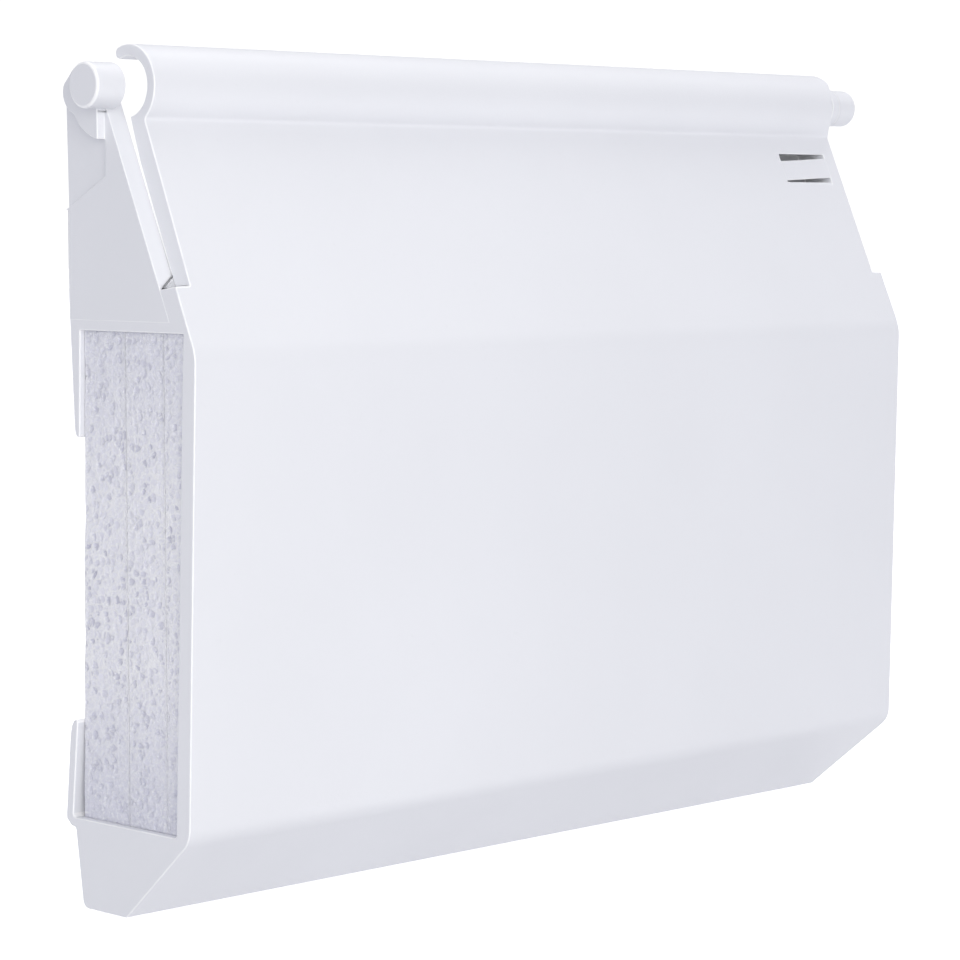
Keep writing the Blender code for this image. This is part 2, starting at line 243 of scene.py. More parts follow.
def combine(target, tool, operation):
    """Join or cut at once, and remove the tool."""
    modifier = target.modifiers.new("boolean", "BOOLEAN")
    modifier.operation = operation
    modifier.solver = "EXACT"
    modifier.object = tool
    settle(target)
    bpy.data.objects.remove(tool)


def settle(item):
    """Apply an object's modifiers to its mesh."""
    bpy.context.view_layer.update()
    evaluated = item.evaluated_get(bpy.context.evaluated_depsgraph_get())
    mesh = bpy.data.meshes.new_from_object(evaluated)
    old = item.data
    item.modifiers.clear()
    item.data = mesh
    bpy.data.meshes.remove(old)


def clean(item, angle=0.6):
    """Weld doubles and dissolve the flat edges that Booleans leave behind."""
    work = bmesh.new()
    work.from_mesh(item.data)
    bmesh.ops.remove_doubles(work, verts=work.verts, dist=0.000004)
    bmesh.ops.dissolve_limit(work, angle_limit=math.radians(angle), verts=work.verts,
                             edges=work.edges, delimit=set())
    bmesh.ops.recalc_face_normals(work, faces=work.faces)
    work.to_mesh(item.data)
    work.free()


def soften(item, width, segments=3, angle=25.0):
    """Round every sharp edge, and mark the rounded strips for the painted edge highlight and wear."""
    bevel = item.modifiers.new("bevel", "BEVEL")
    bevel.width = width * MM
    bevel.segments = segments
    bevel.limit_method = "ANGLE"
    bevel.angle_limit = math.radians(angle)
    bevel.use_clamp_overlap = False
    bevel.miter_outer = "MITER_ARC"
    settle(item)
    mark_edges(item, width)


def mark_edges(item, width):
    """A vertex attribute that is 1 in the middle of a rounded edge and 0 on the faces."""
    work = bmesh.new()
    work.from_mesh(item.data)
    mark = work.verts.layers.float.new("edge")
    narrow = width * MM * 0.9
    for vert in work.verts:
        widths = [f.calc_area() / max(e.calc_length() for e in f.edges) for f in vert.link_faces]
        vert[mark] = 1.0 if widths and max(widths) < narrow else 0.0
    work.to_mesh(item.data)
    work.free()


def shade(item, keep_angle=40.0):
    for polygon in item.data.polygons:
        polygon.use_smooth = True
    item.data.set_sharp_from_angle(angle=math.radians(keep_angle))
    weighted = item.modifiers.new("normals", "WEIGHTED_NORMAL")
    weighted.mode = "FACE_AREA"
    weighted.weight = 60
    weighted.keep_sharp = True
    settle(item)
    flatten(item)


def flatten(item):
    """Give the broad flat faces their own normal at every corner."""
    mesh = item.data
    normals = [loop.vector.copy() for loop in mesh.corner_normals]
    for polygon in mesh.polygons:
        corners = [mesh.vertices[v].co for v in polygon.vertices]
        longest = max((a - b).length for a, b in zip(corners, corners[1:] + corners[:1]))
        if polygon.area / longest > 2.2 * MM:
            for loop in polygon.loop_indices:
                normals[loop] = polygon.normal.copy()
    mesh.normals_split_custom_set(normals)


def flare_ends(item):
    for vert in item.data.vertices:
        z = vert.co.z / MM
        if z >= UPPER_BEND[1]:
            continue
        if z >= LOWER_BEND[1]:
            share = (z - UPPER_BEND[1]) / (LOWER_BEND[1] - UPPER_BEND[1])
            width = HALF_WIDTH + share * (HALF_WIDTH_FOOT - HALF_WIDTH)
        else:
            share = (z - LOWER_BEND[1]) / (BASE_FRONT[1] - LOWER_BEND[1])
            width = HALF_WIDTH_FOOT + share * (HALF_WIDTH_BASE - HALF_WIDTH_FOOT)
        vert.co.x *= width / HALF_WIDTH


def shell_outline():
    on_roll, fillet = crease_fillet()
    tip = math.radians(ROLL_TIP_ANGLE)
    middle = (ROLL_RADIUS + ROLL_BORE) / 2
    tip_centre = (middle * math.cos(tip), middle * math.sin(tip))
    outline = arc(tip_centre, (ROLL_RADIUS - ROLL_BORE) / 2, ROLL_TIP_ANGLE - 170, ROLL_TIP_ANGLE, 8)
    outline += arc((0, 0), ROLL_RADIUS, ROLL_TIP_ANGLE + 2, on_roll - 1, 48)
    outline += fillet
    outline += rounded(CREASE, UPPER_BEND, LOWER_BEND, 9.0, 10)
    outline += rounded(UPPER_BEND, LOWER_BEND, BASE_FRONT, 5.0, 12)
    outline += rounded(LOWER_BEND, BASE_FRONT, BASE_REAR, 1.2, 6)
    outline += rounded(BASE_FRONT, BASE_REAR, (BASE_REAR[0], LEDGE[1]), 1.5, 7)
    outline += rounded(BASE_REAR, (BASE_REAR[0], LEDGE[1]), LEDGE, 0.5, 3)
    outline += rounded((BASE_REAR[0], LEDGE[1]), LEDGE, (14.6, -133.9), 0.5, 3)
    outline += [(14.55, -134.1), (14.6, -133.4), (13.4, -119.6)]
    outline += [(13.15, -117.6), (12.85, -116.5), (12.4, -115.7), (11.9, -115.3), (11.45, -115.25)]
    outline += [(11.15, -115.5), (11.05, -116.0)]
    outline += [(12.55, -133.0), (12.2, POCKET_FLOOR)]
    outline += [(pocket_front(POCKET_FLOOR) + 0.4, POCKET_FLOOR)]
    outline += [(pocket_front(POCKET_FLOOR + 0.4), POCKET_FLOOR + 0.4)]
    outline += [(pocket_front(UPPER_BEND[1]), UPPER_BEND[1]), (slope(POCKET_TOP) + 1.65, POCKET_TOP)]
    outline += [(foam_rear(z) + FOAM_PLAY, z) for z in (POCKET_TOP, -62.3)]
    outline += [(9.9, -63.0), (10.2, -63.35), (10.65, -63.3), (11.05, -62.8)]
    outline += [(11.3, -61.9), (11.38, -60.6)]
    outline += [(ARM_REAR_ROOT, PLATE_TOP), (panel_back(PLATE_TOP), PLATE_TOP), *PANEL_BACK[2::-1]]
    outline += arc((0, 0), ROLL_BORE, 262.0, ROLL_TIP_ANGLE + 6, 44)
    return outline


def wedge_inner(z):
    run = Vector(BASE_FRONT) - Vector(LOWER_BEND)
    offset = WEDGE_WALL * run.length / -run.y
    return LOWER_BEND[0] + offset + (z - LOWER_BEND[1]) * run.x / run.y


def build_shell():
    shell = prism("flap_moulding", shell_outline(), -HALF_WIDTH, HALF_WIDTH)
    for side in (-1, 1):
        ends = sorted((side * NOTCH[side], side * (HALF_WIDTH + 20)))
        steps = [(-40.0, -32.55), (-17.9, PLATE_FRONT_TOP), (-13.4, PLATE_TOP), (BEYOND, PLATE_TOP),
                 (BEYOND, 20.0), (-40.0, 20.0)]
        combine(shell, prism("notch", steps, *ends), "DIFFERENCE")
        edge = END_LEFT if side < 0 else END_RIGHT
        taper = [(side * x, z) for x, z in edge] + [(side * 120.0, 20.0), (side * 120.0, edge[0][1])]
        combine(shell, upright("taper", taper, -40.0, BEYOND), "DIFFERENCE")
    shelf_over = POCKET_TOP + SHELF
    hollow = [(panel_back(shelf_over) + 0.02, shelf_over), (BEYOND, shelf_over),
              (BEYOND, PLATE_TOP + 1), (panel_back(PLATE_TOP + 1) + 0.02, PLATE_TOP + 1)]
    combine(shell, prism("hollow", hollow, -ROLL_HALF_LENGTH, ROLL_HALF_LENGTH), "DIFFERENCE")
    base_inner = BASE_FRONT[1] + BASE_WALL
    under = POCKET_FLOOR - SHELF
    bay = [(wedge_inner(base_inner), base_inner), (wedge_inner(under), under),
           (BEYOND, under), (BEYOND, base_inner)]
    half = RIB_THICKNESS / 2
    walls = [-HALF_WIDTH + SHELF - half, *WEDGE_RIB_PLACES, HALF_WIDTH - SHELF + half]
    for start, end in zip(walls, walls[1:]):
        combine(shell, prism("bay", bay, start + half, end - half), "DIFFERENCE")
    foot = POCKET_TOP + SHELF / 2
    gusset = [(slope(-15.0) + 2.5, -15.0), (3.0, foot), (slope(foot) + 2.5, foot)]
    for place in GUSSET_PLACES:
        combine(shell, prism("gusset", gusset, place - half, place + half), "UNION")
    top, foot = WINDOW_TOP + POCKET_SKIN, WINDOW_FLOOR - POCKET_SKIN
    outside = [(slope(top) + 2.5, top), (slope(foot) + 2.5, foot)]
    outside += [(slope(z) + POCKET_DEPTH + POCKET_SKIN, z) for z in (foot, top)]
    combine(shell, prism("housing", outside, WINDOW_LEFT - POCKET_SKIN, WINDOW_RIGHT + POCKET_SKIN), "UNION")
    inside = [(slope(z) - 3.0, z) for z in (WINDOW_TOP, WINDOW_FLOOR)]
    inside += [(slope(z) + POCKET_DEPTH, z) for z in (WINDOW_FLOOR, WINDOW_TOP)]
    combine(shell, prism("window", inside, WINDOW_LEFT, WINDOW_RIGHT), "DIFFERENCE")
    clean(shell)
    flare_ends(shell)
    soften(shell, 0.28)
    shade(shell)
    return shell


def arm_outline(root):
    centre = (ARM_REAR_TOP - ARM_HEAD_RADIUS, ARM_TOP - ARM_HEAD_RADIUS)
    (y0, z0), (y1, z1) = ARM_FRONT
    outline = [(y0 + (root - z0) / (z1 - z0) * (y1 - y0), root), (y1, z1)]
    outline += [(2.1, 0.0), (2.3, 1.6), (2.9, 2.9), (3.9, ARM_TOP)]
    outline += arc(centre, ARM_HEAD_RADIUS, 90.0, 0.0, 20)
    outline += [(13.4, -21.5), (ARM_REAR_ROOT, PLATE_TOP), (ARM_REAR_ROOT - 0.3, root)]
    return outline


def boss_outline():
    foot = -math.degrees(math.acos(BOSS_FRONT / BOSS_RADIUS))
    lobe = [(7.3, 3.75), (8.3, 3.3), (9.0, 2.7), (9.7, 1.95), (10.4, 1.3), (10.95, 0.8), (11.35, 0.1),
            (11.5, -0.7), (11.45, -1.6), (11.15, -2.5), (10.6, -3.4), (9.7, -4.2)]
    return [(BOSS_FRONT, ARM_TOP + 0.2)] + lobe + arc((0, 0), BOSS_RADIUS, -31.0, foot, 22)


def pin_profile(start, end, radius, round_off):
    chamfer = arc((radius - round_off, end - round_off), round_off, 90.0, 0.0, 6)
    return [(0.0, end)] + [(r, x) for r, x in chamfer] + [(radius, start), (0.0, start)]


def arm_with_pin(name, root, inner, outer, pin):
    """Plate, sunk face, boss and pin, modelled at the right."""
    arm = prism(name, arm_outline(root), inner, outer)
    recess = [(BOSS_FRONT + 0.15, 9.0), (BOSS_FRONT - 0.05, -15.9), (14.5, -22.7), (14.5, 9.0)]
    combine(arm, prism("recess", recess, outer - RECESS_DEPTH, outer + 1), "DIFFERENCE")
    combine(arm, prism("boss", boss_outline(), outer - 1.2, outer + BOSS_HEIGHT), "UNION")
    combine(arm, turned("pin", pin), "UNION")
    return arm


def trim_rear_corner(item, outer, z_low, z_high):
    """Slant the upright rear corner of an end plate, modelled at the right."""
    corner = [(outer + 0.5, 11.9), (outer, 12.2), (outer - 0.35, 12.9), (outer - 1.2, 13.6),
              (outer - 1.2, 16.0), (outer + 0.5, 16.0)]
    combine(item, column("corner", corner, z_low, z_high), "DIFFERENCE")


def mirrored(item):
    item.data.transform(Matrix.Scale(-1.0, 4, Vector((1, 0, 0))))
    item.data.flip_normals()


def bisect_levels(item, axis, levels):
    """Cut loops across a mesh, so that it can bend."""
    work = bmesh.new()
    work.from_mesh(item.data)
    normal = [0.0, 0.0, 0.0]
    normal[axis] = 1.0
    for level in levels:
        point = [0.0, 0.0, 0.0]
        point[axis] = level * MM
        bmesh.ops.bisect_plane(work, geom=work.verts[:] + work.edges[:] + work.faces[:],
                               plane_co=point, plane_no=normal, dist=0.000001)
    work.to_mesh(item.data)
    work.free()


def build_left_arm():
    outer = HALF_WIDTH + 0.05
    inner = HALF_WIDTH - ARM_THICKNESS - 0.25
    arm = arm_with_pin("left_arm_moulding", -42.0, inner, outer,
                       pin_profile(outer - 0.4, PIN_END_LEFT, PIN_RADIUS, 0.55))
    trim_rear_corner(arm, outer, -45.0, -22.0)
    under = [(-30.0, PLATE_TOP - 0.2), (-30.0, -50.0), (BEYOND, -50.0), (BEYOND, PLATE_TOP - 0.2)]
    combine(arm, prism("under", under, inner - 1.0, inner + 0.7), "DIFFERENCE")
    mirrored(arm)
    clean(arm)
    soften(arm, 0.2)
    combine(arm, block("slit", (-101.6, 1.0, -4.7), (-99.4, 2.1, -4.4)), "DIFFERENCE")
    bisect_levels(arm, 2, [-41.0 + i for i in range(13)])
    shade(arm)
    return arm


def build_right_carrier():
    inner = HALF_WIDTH - ARM_THICKNESS + 0.2
    carrier = arm_with_pin("right_carrier_moulding", -36.0, inner, HALF_WIDTH, RIGHT_PIN)
    trim_rear_corner(carrier, HALF_WIDTH, -45.0, -22.0)
    hook_outer = ROLL_HALF_LENGTH - 0.3
    combine(carrier, block("hook", (hook_outer - 2.2, -6.0, -41.6), (hook_outer, 6.0, -30.7)), "UNION")
    combine(carrier, block("bridge", (hook_outer - 1.0, -5.5, -33.7), (inner + 1.0, 5.5, -31.2)), "UNION")
    clean(carrier)
    soften(carrier, 0.25)
    carrier.data.transform(Matrix.Translation((0.0, 0.0, CARRIER_LIFT * MM)))
    shade(carrier)
    return carrier


def build_tongue():
    outline = [(slope(z), z) for z in (TONGUE_TOP, TONGUE_FOOT)]
    outline += [(slope(z) + TONGUE_RECESS + TONGUE_THICKNESS, z) for z in (TONGUE_FOOT, TONGUE_TOP)]
    tongue = prism("latch_tongue_moulding", outline, WINDOW_LEFT + 0.3, WINDOW_RIGHT + 1.2)
    middle = (TONGUE_TOP + TONGUE_FOOT) / 2
    for vert in tongue.data.vertices:
        if vert.co.y < (slope(middle) + 1.5) * MM:
            share = (WINDOW_RIGHT - vert.co.x / MM) / (WINDOW_RIGHT - WINDOW_LEFT)
            vert.co.y += (0.02 + (TONGUE_RECESS - 0.02) * max(0.0, share)) * MM
    clean(tongue)
    soften(tongue, 0.22)
    bisect_levels(tongue, 0, [90.5 + 0.5 * i for i in range(8)])
    hinge = Vector((WINDOW_RIGHT - 0.15, slope(middle) + TONGUE_RECESS + TONGUE_THICKNESS / 2, middle)) * MM
    turn = Matrix.Rotation(math.radians(-TONGUE_DROOP), 4, "Y")
    tongue.data.transform(Matrix.Translation(hinge) @ turn @ Matrix.Translation(-hinge))
    shade(tongue)
    return tongue


# Foam ---------------------------------------------------------------------------------------------

CELL = 1.35                  # mean size of a foam cell
LATTICE_SEED = 11


def cell_field(points, cell, seed):
    """Distance to the nearest and second-nearest cell centre, and a random number for the nearest cell."""
    rng = np.random.default_rng(seed)
    low = np.floor(points.min(0) / cell).astype(int) - 2
    high = np.floor(points.max(0) / cell).astype(int) + 3
    size = high - low
    jitter = rng.random((*size, 3))
    tag = rng.random(size)
    home = np.floor(points / cell).astype(int) - low
    first = np.full(len(points), 1e9)
    second = np.full(len(points), 1e9)
    owner = np.zeros(len(points))
    for dx in (-1, 0, 1):
        for dy in (-1, 0, 1):
            for dz in (-1, 0, 1):
                i, j, k = home[:, 0] + dx, home[:, 1] + dy, home[:, 2] + dz
                seedpoint = (np.stack([i, j, k], 1) + low + jitter[i, j, k]) * cell
                away = np.linalg.norm(points - seedpoint, axis=1)
                nearer = away < first
                second = np.where(nearer, first, np.minimum(second, away))
                owner = np.where(nearer, tag[i, j, k], owner)
                first = np.where(nearer, away, first)
    return first, second, owner


def slab(name, front_edge, rear_edge, top, foot, seed, rear_skin=False):
    """A foam slab with cells on its cut ends, and on its rear face where that is open to view."""
    step = 0.25
    depth = rear_edge(top) - front_edge(top)
    nu = max(8, round(depth / step))
    nv = 2 * round((top - foot) / step / 2)
    verts, faces, kinds = [], [], []
    ends = {}
    for side in (-1, 1):
        index = np.zeros((nu + 1, nv + 1), int)
        for i in range(nu + 1):
            for j in range(nv + 1):
                z = foot + (top - foot) * j / nv
                y = front_edge(z) + (rear_edge(z) - front_edge(z)) * i / nu
                index[i, j] = len(verts)
                verts.append((side * FOAM_HALF_LENGTH, y, z))
                kinds.append(1)
        for i in range(nu):
            for j in range(nv):
                quad = (index[i, j], index[i + 1, j], index[i + 1, j + 1], index[i, j + 1])
                faces.append(quad if side > 0 else quad[::-1])
        ends[side] = index
    left, right = ends[-1], ends[1]
    faces.append(tuple(left[0, :]) + tuple(right[0, ::-1]))
    if rear_skin:
        nx = round(2 * FOAM_HALF_LENGTH / 0.62)
        rear = np.zeros((nx + 1, nv // 2 + 1), int)
        for k in range(nx + 1):
            for j in range(nv // 2 + 1):
                if k == 0:
                    rear[k, j] = left[nu, 2 * j]
                elif k == nx:
                    rear[k, j] = right[nu, 2 * j]
                else:
                    z = foot + (top - foot) * 2 * j / nv
                    rear[k, j] = len(verts)
                    verts.append((-FOAM_HALF_LENGTH + 2 * FOAM_HALF_LENGTH * k / nx, rear_edge(z), z))
                    kinds.append(2)
        for k in range(nx):
            for j in range(nv // 2):
                ring = [rear[k, j]]
                if k == 0:
                    ring.append(left[nu, 2 * j + 1])
                ring += [rear[k, j + 1], rear[k + 1, j + 1]]
                if k == nx - 1:
                    ring.append(right[nu, 2 * j + 1])
                ring.append(rear[k + 1, j])
                faces.append(tuple(ring))
        upper = tuple(rear[1:-1, -1])
        lower = tuple(rear[1:-1, 0])
    else:
        faces.append(tuple(right[nu, :]) + tuple(left[nu, ::-1]))
        upper = lower = ()
    faces.append(tuple(left[:, nv]) + upper + tuple(right[::-1, nv]))
    faces.append(tuple(right[:, 0]) + lower[::-1] + tuple(left[::-1, 0]))
    points = np.array(verts, float)
    kinds = np.array(kinds)
    coarse_first, coarse_second, owner = cell_field(points, CELL, seed)
    _, fine_second, _ = cell_field(points, CELL * 0.55, seed + 1)
    gap = coarse_second - coarse_first
    wall = np.exp(-(gap / 0.18) ** 2)
    pit = (0.07 + 0.3 * owner ** 1.5) * (1 - wall) * np.clip(gap / 0.45, 0, 1)
    wave = np.array([noise.noise(Vector((p[0] * 0.02, p[1] * 0.16 + seed, p[2] * 0.12)))
                     for p in points])
    end = kinds == 1
    moved = points.copy()
    near_seam = np.minimum(points[:, 1] - np.array([front_edge(z) for z in points[:, 2]]),
                           np.array([rear_edge(z) for z in points[:, 2]]) - points[:, 1])
    seam = np.exp(-(near_seam / 0.3) ** 2)
    wall = np.maximum(wall, 0.8 * seam)
    inward = pit * (1 - seam) + 0.12 * wave + 0.05 * (fine_second / CELL) - 0.03 * seam
    moved[end, 0] -= np.sign(points[end, 0]) * inward[end]
    if rear_skin:
        on_rear = (kinds == 2) | (end & (np.abs(points[:, 1] - np.array(
            [rear_edge(z) for z in points[:, 2]])) < 0.01))
        moved[on_rear, 1] -= (0.22 * pit + 0.12 * wave + 0.1)[on_rear]
    item = mesh_object(name, moved, faces)
    recalc(item)
    # cell and cell_tone drive the foam's cell colours, including the painted shade in the deeper pits.
    attribute = item.data.attributes.new("cell", "FLOAT", "POINT")
    attribute.data.foreach_set("value", (1 - wall).astype(np.float32))
    attribute = item.data.attributes.new("cell_tone", "FLOAT", "POINT")
    attribute.data.foreach_set("value", owner.astype(np.float32))
    for polygon in item.data.polygons:
        polygon.use_smooth = len(polygon.vertices) < 8
    return item


# Materials ----------------------------------------------------------------------------------------

class Nodes:
    """Short hand for building a material's node tree."""

    def __init__(self, name):
        self.material = bpy.data.materials.new(name)
        self.material.use_nodes = True
        self.tree = self.material.node_tree
        self.shader = self.tree.nodes["Principled BSDF"]
        self.place = self.add("ShaderNodeTexCoord").outputs["Object"]

    def add(self, kind, **values):
        node = self.tree.nodes.new(kind)
        for key, value in values.items():
            setattr(node, key, value)
        return node

    def link(self, out, into):
        self.tree.links.new(out, into)

    def noise(self, scale, detail=3.0, roughness=0.5, stretch=None):
        node = self.add("ShaderNodeTexNoise")
        node.inputs["Scale"].default_value = scale
        node.inputs["Detail"].default_value = detail
        node.inputs["Roughness"].default_value = roughness
        source = self.place
        if stretch:
            mapping = self.add("ShaderNodeMapping")
            mapping.inputs["Scale"].default_value = stretch
            self.link(source, mapping.inputs["Vector"])
            source = mapping.outputs["Vector"]
        self.link(source, node.inputs["Vector"])
        return node.outputs["Fac"]

    def spread(self, value, low, high, to_low=0.0, to_high=1.0):
        node = self.add("ShaderNodeMapRange")
        for key, number in zip(("From Min", "From Max", "To Min", "To Max"),
                               (low, high, to_low, to_high)):
            node.inputs[key].default_value = number
        self.link(value, node.inputs["Value"])
        return node.outputs["Result"]

    def math(self, operation, a, b):
        node = self.add("ShaderNodeMath", operation=operation)
        for socket, value in zip(node.inputs, (a, b)):
            if isinstance(value, (int, float)):
                socket.default_value = value
            else:
                self.link(value, socket)
        return node.outputs[0]

    def mix(self, share, a, b):
        node = self.add("ShaderNodeMix", data_type="RGBA")
        if isinstance(share, (int, float)):
            node.inputs[0].default_value = share
        else:
            self.link(share, node.inputs[0])
        for socket, value in ((node.inputs[6], a), (node.inputs[7], b)):
            if isinstance(value, tuple):
                socket.default_value = (*value, 1.0)
            else:
                self.link(value, socket)
        return node.outputs[2]

    def bump(self, height, strength, distance, after=None):
        node = self.add("ShaderNodeBump")
        node.inputs["Strength"].default_value = strength
        node.inputs["Distance"].default_value = distance
        self.link(height, node.inputs["Height"])
        if after is not None:
            self.link(after, node.inputs["Normal"])
        return node.outputs["Normal"]

    def attribute(self, name):
        return self.add("ShaderNodeAttribute", attribute_name=name).outputs["Fac"]


def plastic(name, tint, gloss):
    n = Nodes(name)
    broad = n.noise(14.0, 3.0)
    cloud = n.noise(70.0, 4.0, 0.6)
    speck = n.noise(900.0, 2.0)
    dark = tuple(c * 0.988 for c in tint)
    light = tuple(min(1.0, c * 1.015) for c in tint)
    colour = n.mix(n.spread(broad, 0.35, 0.65), dark, light)
    colour = n.mix(n.spread(cloud, 0.45, 0.75, 0.0, 0.12), colour, tuple(c * 0.98 for c in tint))
    colour = n.mix(n.spread(speck, 0.68, 0.78, 0.0, 0.25), colour, tuple(c * 0.93 for c in tint))
    # Painted highlight: the rounded edge strips are painted lighter, broken up with noise like light wear,
    # and made a little glossier.
    edge = n.attribute("edge")
    edge_highlight_and_wear = n.math("MULTIPLY", edge, n.spread(n.noise(240.0, 3.0), 0.35, 0.6, 0.65, 1.0))
    colour = n.mix(edge_highlight_and_wear, colour, tuple(min(1.0, c * 1.22) for c in tint))
    n.link(colour, n.shader.inputs["Base Color"])
    rough = n.spread(cloud, 0.3, 0.7, gloss - 0.02, gloss + 0.03)
    scuff = n.spread(n.noise(260.0, 5.0, 0.7, (1.0, 1.0, 6.0)), 0.62, 0.72, 0.0, 0.06)
    rough = n.math("ADD", rough, scuff)
    rough = n.math("SUBTRACT", rough, n.math("MULTIPLY", edge_highlight_and_wear, 0.08))
    n.link(rough, n.shader.inputs["Roughness"])
    grain = n.bump(n.noise(2600.0, 2.0), 0.10, 0.0002)
    ripple = n.bump(n.noise(45.0, 2.0), 0.05, 0.0012, grain)
    scratch = n.bump(n.spread(n.noise(500.0, 2.0, 0.5, (0.25, 1.0, 6.0)), 0.66, 0.72), 0.015, 0.0001, ripple)
    n.link(scratch, n.shader.inputs["Normal"])
    n.shader.inputs["IOR"].default_value = 1.49
    n.shader.inputs["Specular IOR Level"].default_value = 0.5
    return n.material


def foam_material():
    n = Nodes("cut_foam")
    cell = n.attribute("cell")
    tone = n.attribute("cell_tone")
    # Pale cell walls over grey-blue cell hollows, with the deepest cells darkest: the foam's own cell tone,
    # plus painted shade in the deeper pits.
    wall_colour = (0.985, 0.985, 1.0)
    pit_colour = (0.89, 0.89, 0.955)
    deep_colour = (0.60, 0.60, 0.70)
    pit = n.mix(n.spread(tone, 0.45, 1.0), pit_colour, deep_colour)
    colour = n.mix(n.spread(cell, 0.15, 0.95), wall_colour, pit)
    cloud = n.noise(60.0, 3.0)
    colour = n.mix(n.spread(cloud, 0.35, 0.65, 0.0, 0.35), colour, (0.90, 0.90, 0.96))
    # Painted shade: the float's cut ends darken towards the top of the pocket, under the shelf, and towards
    # the pocket's floor.
    height = n.add("ShaderNodeSeparateXYZ")
    n.link(n.place, height.inputs[0])
    upper = n.spread(height.outputs["Z"], -0.075, -0.046, 0.0, 0.45)
    lower = n.spread(height.outputs["Z"], -0.105, -0.132, 0.0, 0.8)
    colour = n.mix(n.math("MAXIMUM", upper, lower), colour, (0.70, 0.705, 0.79))
    # Fine mottle towards a pale grey: the texture of the cell films, standing in for painted glints.
    film_glints = n.spread(n.noise(1500.0, 3.0, 0.6), 0.52, 0.66, 0.0, 0.7)
    colour = n.mix(film_glints, colour, (0.92, 0.925, 0.95))
    n.link(colour, n.shader.inputs["Base Color"])
    n.link(n.spread(n.noise(1200.0, 2.0), 0.35, 0.65, 0.28, 0.6), n.shader.inputs["Roughness"])
    small = n.add("ShaderNodeTexVoronoi", feature="DISTANCE_TO_EDGE")
    small.inputs["Scale"].default_value = 1500.0
    n.link(n.place, small.inputs["Vector"])
    ridge = n.bump(n.spread(small.outputs["Distance"], 0.0, 0.25, 1.0, 0.0), 0.35, 0.0002)
    n.link(n.bump(n.noise(3000.0, 2.0), 0.2, 0.0001, ridge), n.shader.inputs["Normal"])
    n.shader.inputs["Subsurface Weight"].default_value = 0.15
    n.shader.inputs["Subsurface Radius"].default_value = (0.0018, 0.0018, 0.0021)
    n.shader.inputs["Subsurface Scale"].default_value = 1.0
    n.shader.inputs["IOR"].default_value = 1.45
    return n.material


def dress(item, material, body=None):
    item.data.materials.clear()
    item.data.materials.append(material)
    for polygon in item.data.polygons:
        polygon.material_index = 0
    if body:
        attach(item, body)


# Studio -------------------------------------------------------------------------------------------

LAMP_COLOUR = (1.0, 0.99, 0.955)
WORLD_LOW = (0.570, 0.576, 0.630)
WORLD_HIGH = (0.530, 0.537, 0.588)
# name, place in metres, size, power in watts
LAMPS = (("key", (-0.25, -0.85, 0.05), 0.6, 2.1),
         ("side", (-0.6, -0.6, 0.05), 0.6, 2.2),
         ("top", (0.15, 0.15, 1.0), 0.8, 5.2))


def build_floor():
    """A pale floor that gives its light to reflections only."""
    n = Nodes("pale_floor")
    shade_noise = n.noise(3.0, 2.0)
    colour = n.mix(n.spread(shade_noise, 0.3, 0.7), (0.93, 0.93, 0.935), (0.95, 0.95, 0.955))
    n.link(colour, n.shader.inputs["Base Color"])
    n.link(n.spread(n.noise(40.0), 0.3, 0.7, 0.75, 0.85), n.shader.inputs["Roughness"])
    n.shader.inputs["Emission Color"].default_value = (1.0, 1.0, 1.0, 1.0)
    n.shader.inputs["Emission Strength"].default_value = 0.76
    reach = 6000.0
    z = BASE_REAR[1] - 1.0
    floor = mesh_object("floor", [(-reach, -reach, z), (reach, -reach, z), (reach, reach, z),
                                  (-reach, reach, z)], [(0, 1, 2, 3)])
    floor.data.materials.append(n.material)
    floor.visible_diffuse = False


def build_world():
    """Soft light, a little bluer and stronger from below, behind a plain white backdrop."""
    world = bpy.data.worlds.new("studio")
    bpy.context.scene.world = world
    world.use_nodes = True
    tree = world.node_tree
    backdrop = tree.nodes["Background"]
    around = tree.nodes.new("ShaderNodeTexCoord")
    parts = tree.nodes.new("ShaderNodeSeparateXYZ")
    height = tree.nodes.new("ShaderNodeMapRange")
    height.inputs["From Min"].default_value = -0.35
    height.inputs["From Max"].default_value = 0.35
    sky = tree.nodes.new("ShaderNodeMix")
    sky.data_type = "RGBA"
    sky.inputs[6].default_value = (*WORLD_LOW, 1.0)
    sky.inputs[7].default_value = (*WORLD_HIGH, 1.0)
    tree.links.new(around.outputs["Generated"], parts.inputs[0])
    tree.links.new(parts.outputs["Z"], height.inputs["Value"])
    tree.links.new(height.outputs["Result"], sky.inputs[0])
    tree.links.new(sky.outputs[2], backdrop.inputs["Color"])
    backdrop.inputs["Strength"].default_value = 1.0
    shown = tree.nodes.new("ShaderNodeBackground")
    shown.inputs["Color"].default_value = (1.0, 1.0, 1.0, 1.0)
    shown.inputs["Strength"].default_value = 1.1
    path = tree.nodes.new("ShaderNodeLightPath")
    pick = tree.nodes.new("ShaderNodeMixShader")
    tree.links.new(path.outputs["Is Camera Ray"], pick.inputs[0])
    tree.links.new(backdrop.outputs[0], pick.inputs[1])
    tree.links.new(shown.outputs[0], pick.inputs[2])
    tree.links.new(pick.outputs[0], tree.nodes["World Output"].inputs["Surface"])


def softbox(name, place, size, power):
    lamp = bpy.data.lights.new(name, "AREA")
    lamp.shape = "SQUARE"
    lamp.size = size
    lamp.energy = power
    lamp.color = LAMP_COLOUR
    item = bpy.data.objects.new(name, lamp)
    item.location = place
    aim = Vector((0.0, 0.0, -0.07)) - Vector(place)
    item.rotation_euler = aim.to_track_quat("-Z", "Y").to_euler()
    bpy.context.scene.collection.objects.link(item)


CAMERA_PLACE = (-0.46185, -0.45422, -0.02343)
CAMERA_HEADING = 45.056      # degrees from +Y towards +X
CAMERA_DOWN = 4.672
CAMERA_ROLL = -0.061
CAMERA_LENS = 120.6


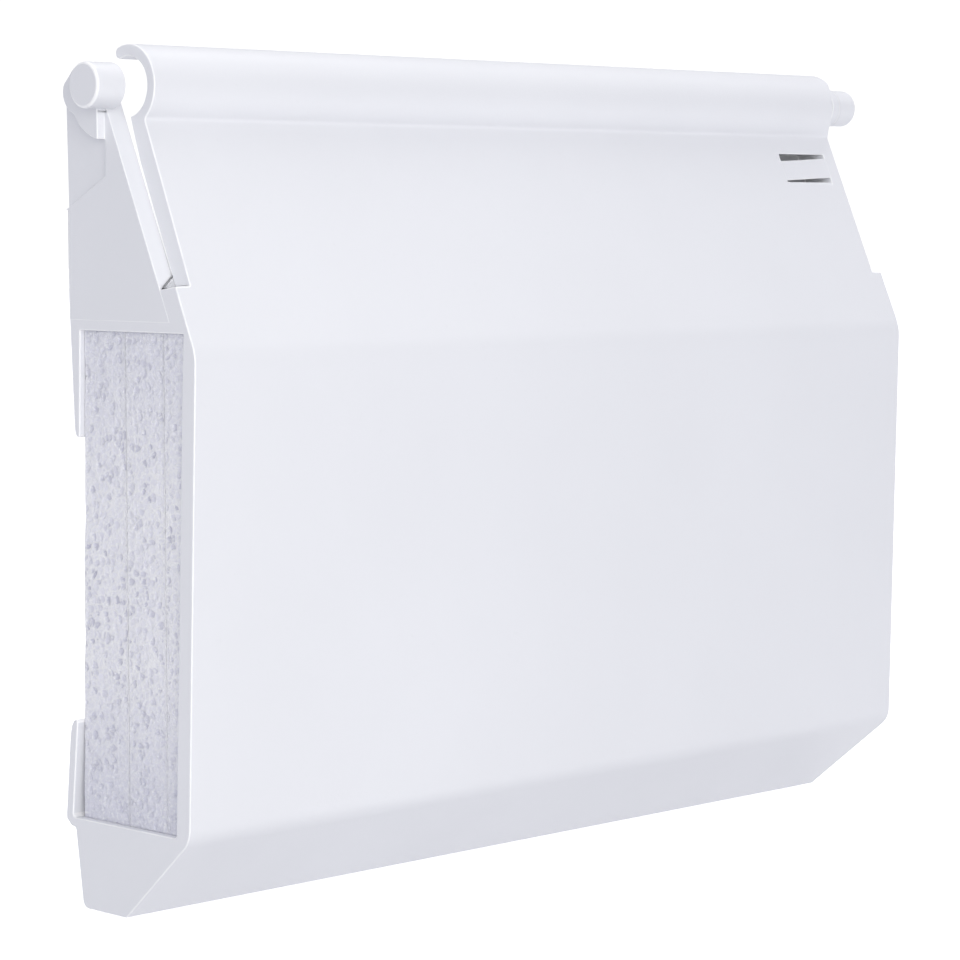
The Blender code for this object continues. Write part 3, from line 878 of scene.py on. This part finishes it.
def build_camera():
    heading, down = math.radians(CAMERA_HEADING), math.radians(CAMERA_DOWN)
    ahead = Vector((math.cos(down) * math.sin(heading), math.cos(down) * math.cos(heading),
                    -math.sin(down)))
    side = Vector((math.cos(heading), -math.sin(heading), 0.0))
    up = side.cross(ahead)
    roll = math.radians(CAMERA_ROLL)
    side = side * math.cos(roll) + up * math.sin(roll)
    up = side.cross(ahead)
    data = bpy.data.cameras.new("camera")
    data.lens = CAMERA_LENS
    data.sensor_width = 36.0
    data.clip_start = 0.01
    data.clip_end = 50.0
    camera = bpy.data.objects.new("camera", data)
    camera.matrix_world = Matrix((
        (side.x, up.x, -ahead.x, CAMERA_PLACE[0]),
        (side.y, up.y, -ahead.y, CAMERA_PLACE[1]),
        (side.z, up.z, -ahead.z, CAMERA_PLACE[2]),
        (0.0, 0.0, 0.0, 1.0)))
    bpy.context.scene.collection.objects.link(camera)
    bpy.context.scene.camera = camera


# Assembly -----------------------------------------------------------------------------------------

white = (0.835, 0.842, 0.868)
shell_plastic = plastic("shell_plastic_look", white, 0.40)
arm_plastic = plastic("arm_plastic_look", white, 0.38)
carrier_plastic = plastic("carrier_plastic_look", white, 0.38)
foam = foam_material()

shell = build_shell()
dress(shell, shell_plastic, "flap")
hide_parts("flap_shell")

arm = build_left_arm()
dress(arm, arm_plastic)
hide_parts("left_spring_arm")
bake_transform(arm)

carrier = build_right_carrier()
dress(carrier, carrier_plastic, "flap")
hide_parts("right_pin_carrier")

tongue = build_tongue()
dress(tongue, carrier_plastic)
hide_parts("latch_tongue")
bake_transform(tongue)

SLABS = (
    ("foam_layer_rear", "foam_slab_rear", lambda z: SEAM_REAR + SEAM_PLAY, foam_rear, True),
    ("foam_layer_middle", "foam_slab_middle", lambda z: SEAM_FRONT + SEAM_PLAY,
     lambda z: SEAM_REAR - SEAM_PLAY, False),
    ("foam_layer_front", "foam_slab_front", lambda z: pocket_front(z) + 0.05,
     lambda z: SEAM_FRONT - SEAM_PLAY, False),
)
for i, (name, node, front_edge, rear_edge, skin) in enumerate(SLABS):
    layer = slab(name, front_edge, rear_edge, POCKET_TOP - FOAM_PLAY, POCKET_FLOOR + FOAM_PLAY,
                 LATTICE_SEED + 7 * i, skin)
    dress(layer, foam, "flap")
    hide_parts(node)

build_floor()
build_world()
for lamp_facts in LAMPS:
    softbox(*lamp_facts)
build_camera()
bpy.context.scene.view_settings.view_transform = "Standard"
